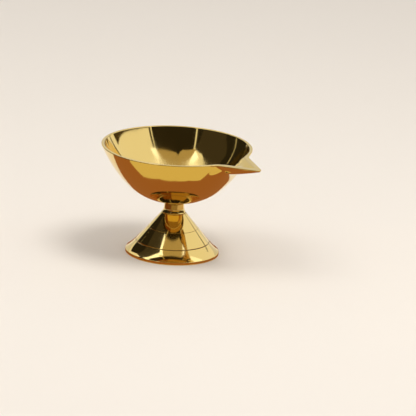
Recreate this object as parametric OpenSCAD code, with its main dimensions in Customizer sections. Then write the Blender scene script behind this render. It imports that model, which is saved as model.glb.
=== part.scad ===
// Footed brass oil lamp: a turned bowl with a lip drawn out for the wick, standing on a hollow conical foot.
// One machine screw, put in from the hollow underside, draws the bowl's tenon down into the foot's neck.
// Millimetres. The origin is the middle of the ring it stands on; +Z is up and the lip points along +X.

/* [Bowl] */
// Outer diameter of the rim
rim_d = 72.4; // [66:0.2:80]
// Outer depth of the bowl, from the rim down to its underside
bowl_depth = 26.9; // [24:0.1:30]
// Thickness of the bowl's wall
bowl_wall = 1.4; // [1.2:0.1:1.8]
// Metal that the flat of the floor has beyond the wall's thickness
floor_extra = 0.6; // [0.4:0.1:1.2]
// Slope of the wall at the rim, in degrees from the horizontal
rim_slope = 66; // [63:1:71]
// Rounding of the rim's two edges
rim_round = 0.3; // [0.15:0.05:0.45]
// Height of the plain boss between the bowl and the foot
boss_h = 1.1; // [1.1:0.1:2]
// Fillet between that boss and the bowl
boss_fillet = 0.7; // [0.4:0.1:0.7]

/* [Lip] */
// Reach of the lip's tip beyond the rim
lip_len = 15.2; // [13:0.1:18]
// Angle between the lip's edges, seen from above
lip_angle = 63; // [56:1:70]
// Slope of the lip's edges, down toward the tip
lip_fall = 3; // [1.5:0.1:5]
// Depth of the lip's underside below the rim where it leaves the bowl
lip_depth = 6.6; // [6.2:0.1:7.8]
// Width of the lip's edges
lip_wall = 2.2; // [1.8:0.1:2.6]
// Metal under the lip's channel
lip_floor = 1.6; // [1.3:0.1:2]
// Fillet that runs the rim into the lip's edge, seen from above
lip_fillet = 8; // [5:0.5:11]
// Radius of the tip, seen from above
tip_r = 2.2; // [1.4:0.1:2.6]
// Thickness of the tip
tip_t = 0.6; // [0.5:0.1:1]

/* [Foot] */
// Diameter of the flange that the foot stands on
foot_d = 44.8; // [42:0.2:50]
// Height of the foot, up to the bowl's seat
foot_h = 24.9; // [23:0.1:27]
// Thickness of the foot's cone
foot_wall = 1.6; // [1.4:0.1:2]
// Height of the flange's upright edge
edge_h = 1.2; // [0.8:0.1:1.6]
// Slope of the flange's top behind that edge, in degrees
flange_slope = 20; // [12:1:28]
// Radius of the hollow curve that runs the flange into the cone
cove_r = 4.5; // [3:0.1:6]
// Height at which the neck stands on the cone
neck_z = 20.2; // [19.4:0.1:21]
// Diameter of the neck at the bowl's seat
neck_d = 9.5; // [9.2:0.1:11]
// Amount that the neck's radius grows toward the cone
neck_taper = 0.25; // [0.1:0.05:0.5]
// Ledge round the neck's foot, where the cone begins
shoulder = 0.65; // [0.4:0.05:0.9]
// Depth of the fine groove turned into the corner between neck and cone
neck_cut = 0.15; // [0.1:0.05:0.25]
// Height of the lower scribed line
scribe_lo_z = 6; // [4.5:0.1:8]
// Height of the upper scribed line
scribe_hi_z = 12.7; // [10:0.1:15]
// Width of the lower scribed line; the upper one is finer
scribe_w = 0.5; // [0.3:0.05:0.7]

/* [Fastening] */
// Diameter of the screw's thread
screw_d = 4; // [3.5:0.1:4.2]
// Length of the screw under its head
screw_len = 12; // [11:0.5:13]
// Diameter of the bowl's tenon
tenon_d = 7; // [6.4:0.1:7.2]
// Length of the tenon
tenon_len = 6; // [5:0.1:7]
// Thickness of the web in the foot that the screw draws up against
web_t = 4.6; // [3.8:0.1:5.4]
// Outer diameter of the washer
washer_d = 9; // [8:0.1:10]
// Thickness of the washer
washer_t = 0.8; // [0.6:0.1:1]

/* [Hidden] */
$fn = 96;
// Clearances: tenon in its socket, screw in its thread, screw through the web, and past blind ends
tenon_gap = 0.05;
thread_gap = 0.03;
bore_gap = 0.2;
end_gap = 0.25;
thread_end = 0.6;
// Small bevels and roundings of turned edges
seam_bevel = 0.2;
edge_round = 0.3;
head_bevel = 0.4;
// Degrees by which neighbouring arcs stop short of each other, and the reach of a cut past what it cuts
arc_gap = 1;
past = 1;

// Bowl heights, and the two arcs of its side, which meet smoothly at the knee
seat_z = foot_h;
under_z = seat_z + boss_h;
rim_z = under_z + bowl_depth;
rim_r = rim_d / 2;
boss_r = neck_d / 2;
flat_r = boss_r - boss_fillet;
knee = 45;
side_w = rim_r - flat_r;
arcs_det = sin(knee) * (cos(knee) - cos(rim_slope)) - (1 - cos(knee)) * (sin(rim_slope) - sin(knee));
low_r = (side_w * (cos(knee) - cos(rim_slope)) - bowl_depth * (sin(rim_slope) - sin(knee))) / arcs_det;
up_r = (sin(knee) * bowl_depth - (1 - cos(knee)) * side_w) / arcs_det;
low_c = [flat_r, under_z + low_r];
up_c = low_c - (up_r - low_r) * [sin(knee), -cos(knee)];
in_slope = acos(up_r * cos(rim_slope) / (up_r - bowl_wall));
in_rim_r = up_c.x + (up_r - bowl_wall) * sin(in_slope);
floor_t = bowl_wall + floor_extra;
floor_z = under_z + floor_t;
floor_slope = acos((low_r - floor_t) / (low_r - bowl_wall));
toe_slope = asin((boss_r + boss_fillet - flat_r) / (low_r + boss_fillet));
toe_c = low_c + (low_r + boss_fillet) * [sin(toe_slope), -cos(toe_slope)];

// Lip: how far inside the rim its edges begin to fall, its keel to rise and its channel to run,
// and, below, how far short of its point the channel ends and the upright land under each edge
fall_in = 5;
root_in = 3;
channel_in = 11;
// Lip: its edges as straight lines that meet before the tip's rounding, and the fillet to the rim
half_a = lip_angle / 2;
reach = rim_r + lip_len;
tip_x = reach - tip_r;
point_x = tip_x + tip_r / sin(half_a);
fall_x = rim_r - fall_in;
root_x = rim_r - root_in;
fil_off = point_x * sin(half_a) + lip_fillet;
fil_run = sqrt(pow(rim_r + lip_fillet, 2) - fil_off * fil_off);
fil_c = [fil_off * sin(half_a) + fil_run * cos(half_a), fil_off * cos(half_a) - fil_run * sin(half_a)];
fil_x0 = fil_c.x * rim_r / (rim_r + lip_fillet);
fil_x1 = fil_c.x - lip_fillet * sin(half_a);
channel_x = point_x - lip_wall / sin(half_a);
channel_end = 1;
lip_land = 0.1;
lip_steps = 12;
keel_bend = 1.25;
outer_bend = 3;
inner_bend = 4;

// Foot: the cone's side runs straight from the neck's shoulder until it touches the hollow curve
foot_r = foot_d / 2;
neck_r = boss_r + neck_taper;
cone_top = [neck_r + shoulder, neck_z];
cove_low = [foot_r - edge_round, edge_h + edge_round];
cove_c = cove_low + cove_r * [sin(flange_slope), cos(flange_slope)];
to_cove = cove_c - cone_top;
cone_a = 90 + atan2(to_cove.y, to_cove.x) - asin(cove_r / norm(to_cove));
cone_t = foot_wall / cos(cone_a);

// Screw, a slotted cheese head, and the hole that it turns into
socket_z = seat_z - tenon_len - end_gap;
ledge_z = socket_z - web_t;
head_d = 1.75 * screw_d;
head_h = 0.65 * screw_d;
slot_w = 0.3 * screw_d;
slot_h = 0.28 * screw_d;
head_z = ledge_z - washer_t;
screw_top = head_z + screw_len;
thread_top = screw_top + thread_end;

// Points of an arc round c, from angle a0 to a1
function arc(c, r, a0, a1, n) = [for (i = [0:n]) let (a = a0 + (a1 - a0) * i / n) c + r * [cos(a), sin(a)]];

// Numbers from a to b in n steps, both ends included
function span(a, b, n) = [for (i = [0:n]) a + (b - a) * i / n];

// Points of the bowl's side on an arc round c, from where it slopes s0 degrees to where it slopes s1
function side(c, r, s0, s1, n) = arc(c, r, s0 - 90, s1 - 90, n);

// Outer radius of the foot's straight cone at height z
function cone_r(z) = cone_top.x + (cone_top.y - z) * tan(cone_a);

// Height of the lip's edges, and of its keel, at distance x from the axis
function edge_z(x) = rim_z - max(0, x - fall_x) * tan(lip_fall);
function keel_z(x) = let (v = max(0, (x - root_x) / (reach - root_x)))
    rim_z - lip_depth + (edge_z(reach) - tip_t - rim_z + lip_depth) * pow(v, keel_bend);

// Half width of the lip at distance x: inside the wall, then fillet, straight edge and round tip
function lip_w(x) =
    x < fil_x0 ? lip_w(fil_x0) - (fil_x0 - x) * 0.4 :
    x < fil_x1 ? fil_c.y - sqrt(lip_fillet * lip_fillet - pow(x - fil_c.x, 2)) :
    x < tip_x + tip_r * sin(half_a) ? (point_x - x) * tan(half_a) :
    sqrt(max(0, tip_r * tip_r - pow(x - tip_x, 2)));

// Cross-section of a trough at x: half width w, edges at height e, depth d, closed off above the rim
function trough(x, w, e, d, bend) = concat(
    [[x, -w, rim_z + past]],
    [for (u = span(-1, 1, lip_steps)) [x, w * u, e - lip_land - (d - lip_land) * (1 - pow(abs(u), bend))]],
    [[x, w, rim_z + past]]);

// Solid through a row of sections that have the same number of points
module loft(rows) {
    m = len(rows[0]);
    last = len(rows) - 1;
    sides = [for (i = [0:last - 1], j = [0:m - 1], half = [0, 1])
        let (a = i * m + j, b = i * m + (j + 1) % m)
        half == 0 ? [a, a + m, b] : [b, a + m, b + m]];
    ends = [[for (j = [0:m - 1]) j], [for (j = [m - 1:-1:0]) last * m + j]];
    polyhedron([for (row = rows) each row], concat(sides, ends), convexity = 4);
}

// Turned shape of the bowl, with its boss and tenon
module bowl_turning() {
    tenon_z = seat_z - tenon_len;
    tenon_r = tenon_d / 2;
    rotate_extrude()
        polygon(concat(
            [[0, tenon_z], [tenon_r - seam_bevel, tenon_z], [tenon_r, tenon_z + seam_bevel], [tenon_r, seat_z]],
            [[boss_r - seam_bevel, seat_z], [boss_r, seat_z + seam_bevel]],
            arc(toe_c, boss_fillet, 180, 90 + toe_slope, 5),
            side(low_c, low_r, toe_slope + arc_gap, knee, 10),
            side(up_c, up_r, knee + arc_gap, rim_slope - arc_gap, 6),
            side([rim_r - rim_round / tan(rim_slope / 2), rim_z - rim_round], rim_round, rim_slope, 180, 4),
            [[0, rim_z]]));
}

// Hollow of the bowl, as the lathe leaves it
module bowl_hollow() {
    edge_r = in_rim_r + rim_round * tan(in_slope / 2);
    rotate_extrude()
        polygon(concat(
            [[0, floor_z]],
            side(low_c, low_r - bowl_wall, floor_slope, knee, 10),
            side(up_c, up_r - bowl_wall, knee + arc_gap, in_slope - arc_gap, 6),
            arc([edge_r, rim_z - rim_round], rim_round, 90 + in_slope, 90, 3),
            [[edge_r, rim_z + 2 * past], [0, rim_z + 2 * past]]));
}

// Outside of the lip: a boat-shaped trough whose keel rises to the tip
module lip_outside() {
    xs = concat(
        [fall_x],
        span(fil_x0, fil_x1, 4),
        span(fil_x1 + 1.5, tip_x + tip_r * sin(half_a), 7),
        [for (a = [0.7, 0.45, 0.25]) tip_x + tip_r * cos(a * (90 - half_a))]);
    loft([for (x = xs) trough(x, lip_w(x), edge_z(x), edge_z(x) - keel_z(x), outer_bend)]);
}

// Channel that carries the wick out over the rim to the tip
module lip_channel() {
    xs = span(rim_r - channel_in, channel_x - channel_end, 11);
    loft([for (x = xs) trough(
        x, (channel_x - x) * tan(half_a), edge_z(x), edge_z(x) - keel_z(x) - lip_floor, inner_bend)]);
}

// Everything over the sloping edges of the lip
module over_lip() {
    translate([fall_x, -rim_r, rim_z])
        rotate([0, lip_fall, 0])
            cube([reach, rim_d, bowl_depth]);
}

module bowl() {
    color("goldenrod")
        difference() {
            union() {
                bowl_turning();
                lip_outside();
            }
            bowl_hollow();
            lip_channel();
            over_lip();
            translate([0, 0, ledge_z])
                cylinder(d = screw_d + 2 * thread_gap, h = thread_top - ledge_z);
        }
}

// Fine line cut round the cone at height z
module scribe(z, w) {
    rotate_extrude()
        translate([cone_r(z), z])
            circle(d = w, $fn = 4);
}

// Outline of the foot from the flange up to the seat
module foot_turning() {
    rotate_extrude()
        polygon(concat(
            [[0, 0], [foot_r - seam_bevel, 0], [foot_r, seam_bevel], [foot_r, edge_h]],
            arc(cove_c, cove_r, 270 - flange_slope, 180 + cone_a, 8),
            [cone_top, [neck_r - neck_cut, neck_z], [neck_r - neck_cut, neck_z + neck_cut]],
            [[neck_r, neck_z + 2 * neck_cut], [boss_r, seat_z - seam_bevel]],
            [[boss_r - seam_bevel, seat_z], [0, seat_z]]));
}

// Hollow inside the cone, open at the floor and closed by the web
module foot_hollow() {
    rotate_extrude()
        polygon([
            [0, -past], [cone_r(-past) - cone_t, -past],
            [cone_r(ledge_z) - cone_t, ledge_z], [0, ledge_z]]);
}

module foot() {
    color("gold")
        difference() {
            foot_turning();
            foot_hollow();
            scribe(scribe_lo_z, scribe_w);
            scribe(scribe_hi_z, scribe_w * 0.6);
            translate([0, 0, ledge_z - past])
                cylinder(d = screw_d + 2 * bore_gap, h = foot_h);
            translate([0, 0, socket_z])
                cylinder(d = tenon_d + 2 * tenon_gap, h = foot_h);
        }
}

module clamp_screw() {
    head_r = head_d / 2;
    shank_r = screw_d / 2;
    low = head_z - head_h;
    color("darkgoldenrod")
        difference() {
            rotate_extrude()
                polygon([
                    [0, low], [head_r - head_bevel, low], [head_r, low + head_bevel], [head_r, head_z],
                    [shank_r, head_z], [shank_r, screw_top - head_bevel], [shank_r - head_bevel, screw_top],
                    [0, screw_top]]);
            translate([-head_d, -slot_w / 2, low - past])
                cube([2 * head_d, slot_w, slot_h + past]);
        }
}

module washer() {
    color("peru")
        translate([0, 0, head_z])
            difference() {
                cylinder(d = washer_d, h = washer_t);
                translate([0, 0, -past])
                    cylinder(d = screw_d + 2 * bore_gap, h = washer_t + 2 * past);
            }
}

bowl();
foot();
clamp_screw();
washer();
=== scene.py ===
"""Looks of a footed brass oil lamp: a turned bowl with a drawn-out wick lip, on a hollow conical foot.

Blender's objects are in metres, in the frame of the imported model: the origin is the middle of the ring that
the lamp stands on, +Z is up and the lip points along +X. The sizes below are in millimetres, as the part's
own are.
"""
from __future__ import annotations

import logging
import math
from collections.abc import Callable
from dataclasses import dataclass
from enum import Enum

import bpy
from mathutils import Matrix, Vector


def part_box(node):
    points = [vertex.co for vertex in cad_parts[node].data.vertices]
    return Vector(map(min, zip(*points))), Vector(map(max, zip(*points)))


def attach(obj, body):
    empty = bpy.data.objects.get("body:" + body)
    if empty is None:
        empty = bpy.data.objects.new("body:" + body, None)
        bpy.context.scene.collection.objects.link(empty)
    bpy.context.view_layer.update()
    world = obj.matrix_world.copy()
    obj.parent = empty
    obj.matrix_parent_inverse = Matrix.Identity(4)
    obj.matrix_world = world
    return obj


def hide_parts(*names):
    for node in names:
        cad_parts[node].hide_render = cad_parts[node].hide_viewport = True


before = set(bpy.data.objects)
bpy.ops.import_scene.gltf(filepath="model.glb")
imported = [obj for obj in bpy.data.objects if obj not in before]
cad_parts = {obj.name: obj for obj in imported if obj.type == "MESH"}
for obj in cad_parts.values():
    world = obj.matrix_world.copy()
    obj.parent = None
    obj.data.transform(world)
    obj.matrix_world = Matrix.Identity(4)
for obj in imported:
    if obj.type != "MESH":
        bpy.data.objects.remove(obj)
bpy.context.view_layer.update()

# A millimetre, and the distance within which points are one, in metres.
MM = 0.001
SAME_POINT = 1e-6
# A height in millimetres that is never the lower of two.
FAR_UP = 1000.0
# Steps in which a crossing is found, and in which a curve is measured.
HALVINGS = 48
FINE_STEPS = 800
LOG = logging.getLogger("lamp")

Point = tuple[float, float]
Colour = tuple[float, float, float, float]
Sockets = dict[str, bpy.types.NodeSocket]


class Slot(str, Enum):
    """Material slots of the record."""

    POLISHED = "polished_brass"
    PLAIN = "plain_brass"


class Zone(Enum):
    """Stretches of the bowl's section, from the tapped hole round over the rim to the middle of the floor."""

    TURNED = "turned"
    OUTSIDE = "outside"
    OUTER_EDGE = "outer edge"
    TOP = "top"
    INNER_EDGE = "inner edge"
    CHANNEL = "channel"
    WALL = "wall"


def arc(centre: Point, radius: float, start: float, stop: float, steps: int) -> list[Point]:
    """Points along an arc of a section.

    Args:
        centre: middle of the arc as radius and height, in millimetres.
        radius: radius of the arc.
        start: first angle, in degrees from the outward direction.
        stop: last angle.
        steps: number of chords.

    Returns:
        The points, both ends included.
    """
    angles = [math.radians(start + (stop - start) * i / steps) for i in range(steps + 1)]
    return [(centre[0] + radius * math.cos(a), centre[1] + radius * math.sin(a)) for a in angles]


def ramp(value: float, low: float, high: float) -> float:
    """Rises smoothly from 0 at low to 1 at high."""
    t = min(1.0, max(0.0, (value - low) / (high - low)))
    return t * t * (3.0 - 2.0 * t)


def lower_of(a: float, b: float, blend: float) -> float:
    """The lower of two numbers, with the corner between them eased.

    Args:
        a: first number.
        b: second number.
        blend: difference between the two at which the easing starts.

    Returns:
        The lower one, or a little less where the two are close.
    """
    if blend <= 0.0:
        return min(a, b)
    near = max(blend - abs(a - b), 0.0) / blend
    return min(a, b) - near * near * blend / 4.0


def solve(inside: Callable[[float], bool], low: float, high: float) -> float:
    """Finds where a test stops holding.

    Args:
        inside: test that holds at low and fails past the wanted value.
        low: value at which the test holds.
        high: value at which it fails.

    Returns:
        The value between them at which it changes.
    """
    for _ in range(HALVINGS):
        middle = 0.5 * (low + high)
        if inside(middle):
            low = middle
        else:
            high = middle
    return low


def along_section(section: list[Point]) -> list[float]:
    """Measures a section along its line.

    Args:
        section: points as radius and height.

    Returns:
        The distance of each point from the first one.
    """
    way = [0.0]
    for (r0, z0), (r1, z1) in zip(section, section[1:]):
        way.append(way[-1] + math.hypot(r1 - r0, z1 - z0))
    return way


def turn(name: str, section: list[Point], columns: int) -> bpy.types.Object:
    """Spins a section round the Z axis, as on a lathe.

    Args:
        name: name of the new piece.
        section: points as radius and height in millimetres, in order along the section.
        columns: number of steps in the full turn.

    Returns:
        The piece, whose points carry their place in the section as the attribute "ring".
    """
    bpy.ops.object.select_all(action="DESELECT")
    bpy.ops.mesh.primitive_plane_add(size=MM)
    piece = bpy.context.active_object
    piece.name = name
    piece.data.name = name
    bpy.ops.object.mode_set(mode="EDIT")
    bpy.ops.mesh.select_mode(type="VERT")
    bpy.ops.mesh.merge(type="CENTER")
    bpy.ops.transform.translate(value=(section[0][0] * MM, 0.0, section[0][1] * MM))
    for (r0, z0), (r1, z1) in zip(section, section[1:]):
        step = ((r1 - r0) * MM, 0.0, (z1 - z0) * MM)
        bpy.ops.mesh.extrude_vertices_move(TRANSFORM_OT_translate={"value": step})
    bpy.ops.object.mode_set(mode="OBJECT")
    ring = piece.data.attributes.new("ring", "INT", "POINT")
    ring.data.foreach_set("value", list(range(len(section))))
    bpy.ops.object.mode_set(mode="EDIT")
    bpy.ops.mesh.select_all(action="SELECT")
    bpy.ops.mesh.spin(steps=columns, angle=math.tau, center=(0.0, 0.0, 0.0), axis=(0.0, 0.0, 1.0))
    bpy.ops.mesh.select_all(action="SELECT")
    bpy.ops.mesh.remove_doubles(threshold=SAME_POINT)
    bpy.ops.mesh.normals_make_consistent(inside=False)
    bpy.ops.object.mode_set(mode="OBJECT")
    return piece


def take_rings(piece: bpy.types.Object) -> list[int]:
    """Takes the attribute "ring" off a turned piece.

    Args:
        piece: the piece as turn made it.

    Returns:
        The place in the section of each of its points.
    """
    layer = piece.data.attributes["ring"]
    rings = [0] * len(piece.data.vertices)
    layer.data.foreach_get("value", rings)
    piece.data.attributes.remove(layer)
    return rings


def finish_mesh(piece: bpy.types.Object, marks: dict[str, list[float]], angle: float = 32.0) -> None:
    """Stores what a finish reads from the mesh, and shades the mesh smooth.

    Args:
        piece: the piece.
        marks: attributes by name, with one number for each point.
        angle: edges sharper than this, in degrees, stay sharp.
    """
    for name, values in marks.items():
        piece.data.attributes.new(name, "FLOAT", "POINT").data.foreach_set("value", values)
    bpy.ops.object.select_all(action="DESELECT")
    piece.select_set(True)
    bpy.context.view_layer.objects.active = piece
    bpy.ops.object.shade_smooth_by_angle(angle=math.radians(angle))


class NodeTree:
    """Short way to place and join nodes in a material or a node group."""

    def __init__(self, tree: bpy.types.NodeTree) -> None:
        """Keeps the tree that the nodes go into."""
        self.tree = tree

    def add(self, kind: str, **settings: object) -> bpy.types.Node:
        """Places a node.

        Args:
            kind: Blender's type name of the node.
            settings: properties of the node, or values for its sockets by name with _ for a space.

        Returns:
            The new node.
        """
        node = self.tree.nodes.new(kind)
        for key, value in settings.items():
            if hasattr(node, key):
                setattr(node, key, value)
            else:
                node.inputs[key.replace("_", " ")].default_value = value
        return node

    def link(self, source: bpy.types.NodeSocket, target: bpy.types.NodeSocket) -> None:
        """Joins an output to an input."""
        self.tree.links.new(source, target)

    def attribute(self, name: str) -> bpy.types.NodeSocket:
        """Reads a number that the points of the mesh carry."""
        return self.add("ShaderNodeAttribute", attribute_name=name).outputs["Fac"]

    def maths(self, operation: str, a: object, b: object = 0.0) -> bpy.types.NodeSocket:
        """Works out one number from two, each a socket or a plain number.

        Args:
            operation: Blender's name of the operation.
            a: first socket or number.
            b: second socket or number.

        Returns:
            The socket that holds the result.
        """
        node = self.add("ShaderNodeMath", operation=operation)
        for socket, value in zip(node.inputs, (a, b)):
            if isinstance(value, bpy.types.NodeSocket):
                self.link(value, socket)
            else:
                socket.default_value = value
        return node.outputs[0]

    def range(self, value: bpy.types.NodeSocket, span: Point, to: Point) -> bpy.types.NodeSocket:
        """Maps a number from one range to another, smoothly and with its ends held.

        Args:
            value: socket with the number.
            span: the two ends of the range that it comes from.
            to: the two ends of the new range.

        Returns:
            The socket that holds the result.
        """
        node = self.add("ShaderNodeMapRange", interpolation_type="SMOOTHSTEP", From_Min=span[0],
                        From_Max=span[1], To_Min=to[0], To_Max=to[1])
        self.link(value, node.inputs["Value"])
        return node.outputs["Result"]

    def bump(self, height: bpy.types.NodeSocket, depth: float,
             under: bpy.types.NodeSocket | None = None) -> bpy.types.NodeSocket:
        """Gives the surface small marks.

        Args:
            height: socket with the height of the marks.
            depth: millimetres that a height of 1 stands for.
            under: normal of other marks that these are added to.

        Returns:
            The socket that holds the normal.
        """
        node = self.add("ShaderNodeBump", Strength=1.0, Distance=depth * MM)
        self.link(height, node.inputs["Height"])
        if under is not None:
            self.link(under, node.inputs["Normal"])
        return node.outputs["Normal"]


class SharedEffect:
    """An effect that several finishes use: a shader node group of plain numbers, built once."""

    NAME = ""
    INPUTS: dict[str, float] = {}
    OUTPUTS: tuple[str, ...] = ()

    @classmethod
    def group(cls) -> bpy.types.NodeTree:
        """Builds the node group, unless it is there already.

        Returns:
            The group.
        """
        if cls.NAME in bpy.data.node_groups:
            return bpy.data.node_groups[cls.NAME]
        group = bpy.data.node_groups.new(cls.NAME, "ShaderNodeTree")
        for key, value in cls.INPUTS.items():
            socket = group.interface.new_socket(key, in_out="INPUT", socket_type="NodeSocketFloat")
            socket.default_value = value
        for key in cls.OUTPUTS:
            group.interface.new_socket(key, in_out="OUTPUT", socket_type="NodeSocketFloat")
        tree = NodeTree(group)
        given = {s.name: s for s in tree.add("NodeGroupInput").outputs if s.name}
        wanted = {s.name: s for s in tree.add("NodeGroupOutput").inputs if s.name}
        cls.fill(tree, given, wanted)
        return group

    @classmethod
    def fill(cls, tree: NodeTree, given: Sockets, wanted: Sockets) -> None:
        """Places the nodes of the effect.

        Args:
            tree: tree of the group.
            given: the group's inputs by name.
            wanted: the group's outputs by name.
        """
        raise NotImplementedError


class LatheLines(SharedEffect):
    """Fine rings that the tool leaves on turned metal, as a height that follows the section."""

    NAME = "lathe_lines"
    INPUTS = {"Along": 0.0, "Fine": 9000.0, "Broad": 900.0}
    OUTPUTS = ("Height",)
    SHARES = {"Fine": 0.35, "Broad": 1.0}

    @classmethod
    def fill(cls, tree: NodeTree, given: Sockets, wanted: Sockets) -> None:
        """Adds up fine and broad noise along the section.

        Args:
            tree: tree of the group.
            given: the group's inputs by name.
            wanted: the group's outputs by name.
        """
        heights = []
        for name, share in cls.SHARES.items():
            noise = tree.add("ShaderNodeTexNoise", noise_dimensions="1D", Scale=1.0, Detail=2.0)
            tree.link(tree.maths("MULTIPLY", given["Along"], given[name]), noise.inputs["W"])
            heights.append(tree.maths("MULTIPLY", noise.outputs["Fac"], share))
        tree.link(tree.maths("ADD", *heights), wanted["Height"])


class HandPolish(SharedEffect):
    """Uneven gloss of metal buffed by hand: clouds of wiped polish, faint waves and a finer unevenness."""

    NAME = "hand_polish"
    INPUTS = {"Cloud Scale": 90.0, "Wave Scale": 130.0, "Grain Scale": 620.0}
    OUTPUTS = ("Cloud", "Wave", "Grain")
    DETAILS = {"Cloud": 5.0, "Wave": 1.0, "Grain": 2.0}

    @classmethod
    def fill(cls, tree: NodeTree, given: Sockets, wanted: Sockets) -> None:
        """Lays one noise for each output.

        Args:
            tree: tree of the group.
            given: the group's inputs by name.
            wanted: the group's outputs by name.
        """
        place = tree.add("ShaderNodeTexCoord").outputs["Object"]
        for name, detail in cls.DETAILS.items():
            noise = tree.add("ShaderNodeTexNoise", noise_dimensions="3D", Detail=detail, Roughness=0.55)
            tree.link(given[name + " Scale"], noise.inputs["Scale"])
            tree.link(place, noise.inputs["Vector"])
            tree.link(noise.outputs["Fac"], wanted[name])


class RadialWipe(SharedEffect):
    """Streaks that run out from the axis, as left by wiping the inside of a bowl with polish."""

    NAME = "radial_wipe"
    INPUTS = {"Around": 26.0, "Outward": 120.0}
    OUTPUTS = ("Streak",)
    LEAST_RADIUS = 0.0005

    @classmethod
    def fill(cls, tree: NodeTree, given: Sockets, wanted: Sockets) -> None:
        """Lays noise on the direction from the axis and the distance from it.

        Args:
            tree: tree of the group.
            given: the group's inputs by name.
            wanted: the group's outputs by name.
        """
        place = tree.add("ShaderNodeSeparateXYZ")
        tree.link(tree.add("ShaderNodeTexCoord").outputs["Object"], place.inputs[0])
        x, y = place.outputs[0], place.outputs[1]
        square = tree.maths("ADD", tree.maths("MULTIPLY", x, x), tree.maths("MULTIPLY", y, y))
        away = tree.maths("ADD", tree.maths("SQRT", square), cls.LEAST_RADIUS)
        vector = tree.add("ShaderNodeCombineXYZ")
        for index, side in enumerate((x, y)):
            share = tree.maths("DIVIDE", side, away)
            tree.link(tree.maths("MULTIPLY", share, given["Around"]), vector.inputs[index])
        tree.link(tree.maths("MULTIPLY", away, given["Outward"]), vector.inputs[2])
        noise = tree.add("ShaderNodeTexNoise", noise_dimensions="3D", Scale=1.0, Detail=3.0)
        tree.link(vector.outputs[0], noise.inputs["Vector"])
        tree.link(noise.outputs["Fac"], wanted["Streak"])


@dataclass(frozen=True)
class BrassFinish:
    """One finish of brass: its colours, its gloss, and the depth of its marks in millimetres."""

    name: str
    bright: Colour
    # The second colour is the painted shade that corners darken to.
    shade_tone: Colour
    gloss: Point
    line_depth: float
    wave_depth: float
    wipe_depth: float = 0.004
    fine_lines: float = 7000.0
    broad_lines: float = 900.0
    cloud_span: Point = (0.35, 0.72)
    # The painted shade in corners: the clouds that it follows, its strength, and the roughness that it adds.
    shade_span: Point = (0.3, 0.7)
    shade_share: Point = (0.55, 1.0)
    shade_rough: float = 0.25
    streak_span: Point = (0.3, 0.7)
    scuff_gloss: Point = (0.12, 0.22)
    scuff_wave: float = 2.0
    scuff_grain: float = 2.2

    def material(self) -> bpy.types.Material:
        """Builds the material.

        Returns:
            Brass whose colour darkens in corners with painted shade, and whose gloss and lines follow the
            turned section.
        """
        material = bpy.data.materials.new(self.name)
        material.use_nodes = True
        tree = NodeTree(material.node_tree)
        shader = material.node_tree.nodes["Principled BSDF"]
        shader.inputs["Metallic"].default_value = 1.0
        polish = tree.add("ShaderNodeGroup", node_tree=HandPolish.group()).outputs
        wipe = tree.add("ShaderNodeGroup", node_tree=RadialWipe.group()).outputs["Streak"]
        scuff = tree.attribute("scuff")

        # Painted shade: the colour darkens toward the dark tone by the corner mask, in random patches; the
        # brass is rougher there too.
        shade_mask = tree.range(polish["Cloud"], self.shade_span, self.shade_share)
        shade_mask = tree.maths("MULTIPLY", shade_mask, tree.attribute("corner"))
        tone = tree.add("ShaderNodeMix", data_type="RGBA")
        colours = [s for s in tone.inputs if s.type == "RGBA"]
        colours[0].default_value = self.bright
        colours[1].default_value = self.shade_tone
        tree.link(shade_mask, tone.inputs["Factor"])
        tree.link([s for s in tone.outputs if s.type == "RGBA"][0], shader.inputs["Base Color"])

        gloss = tree.range(polish["Cloud"], self.cloud_span, self.gloss)
        worn = tree.maths("MULTIPLY", scuff, tree.range(wipe, self.streak_span, self.scuff_gloss))
        worn = tree.maths("ADD", worn, tree.maths("MULTIPLY", shade_mask, self.shade_rough))
        tree.link(tree.maths("ADD", gloss, worn), shader.inputs["Roughness"])

        lines = tree.add("ShaderNodeGroup", node_tree=LatheLines.group(), Fine=self.fine_lines,
                         Broad=self.broad_lines)
        tree.link(tree.attribute("along"), lines.inputs["Along"])
        cut = tree.maths("MULTIPLY", lines.outputs["Height"], tree.attribute("turned"))
        swell = tree.maths("ADD", tree.maths("MULTIPLY", scuff, self.scuff_wave), 1.0)
        swell = tree.maths("MULTIPLY", polish["Wave"], swell)
        grain = tree.maths("MULTIPLY", polish["Grain"], tree.maths("MULTIPLY", scuff, self.scuff_grain))
        normal = tree.bump(cut, self.line_depth)
        normal = tree.bump(tree.maths("ADD", swell, grain), self.wave_depth, normal)
        normal = tree.bump(tree.maths("MULTIPLY", wipe, scuff), self.wipe_depth, normal)
        tree.link(normal, shader.inputs["Normal"])
        return material


# Each finish's dark colour is the painted shade of its corners.
POLISHED_BRASS = BrassFinish(
    name="polished_brass", bright=(0.87, 0.66, 0.24, 1.0), shade_tone=(0.20, 0.12, 0.04, 1.0),
    gloss=(0.05, 0.11), line_depth=0.0014, wave_depth=0.009)
PLAIN_BRASS = BrassFinish(
    name="plain_brass", bright=(0.66, 0.47, 0.18, 1.0), shade_tone=(0.14, 0.09, 0.04, 1.0),
    gloss=(0.24, 0.40), line_depth=0.004, wave_depth=0.01)


@dataclass(frozen=True)
class Ring:
    """One ring of the bowl's mesh: where it lies in the plain section, and its share of its zone."""

    zone: Zone
    r: float
    z: float
    share: float = 0.0


@dataclass(frozen=True)
class Edges:
    """The rim in one direction: its outer edge, inner edge and crease, and the inner edge's rounding."""

    outer: float
    inner: float
    crease: float
    soft: float


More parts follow.
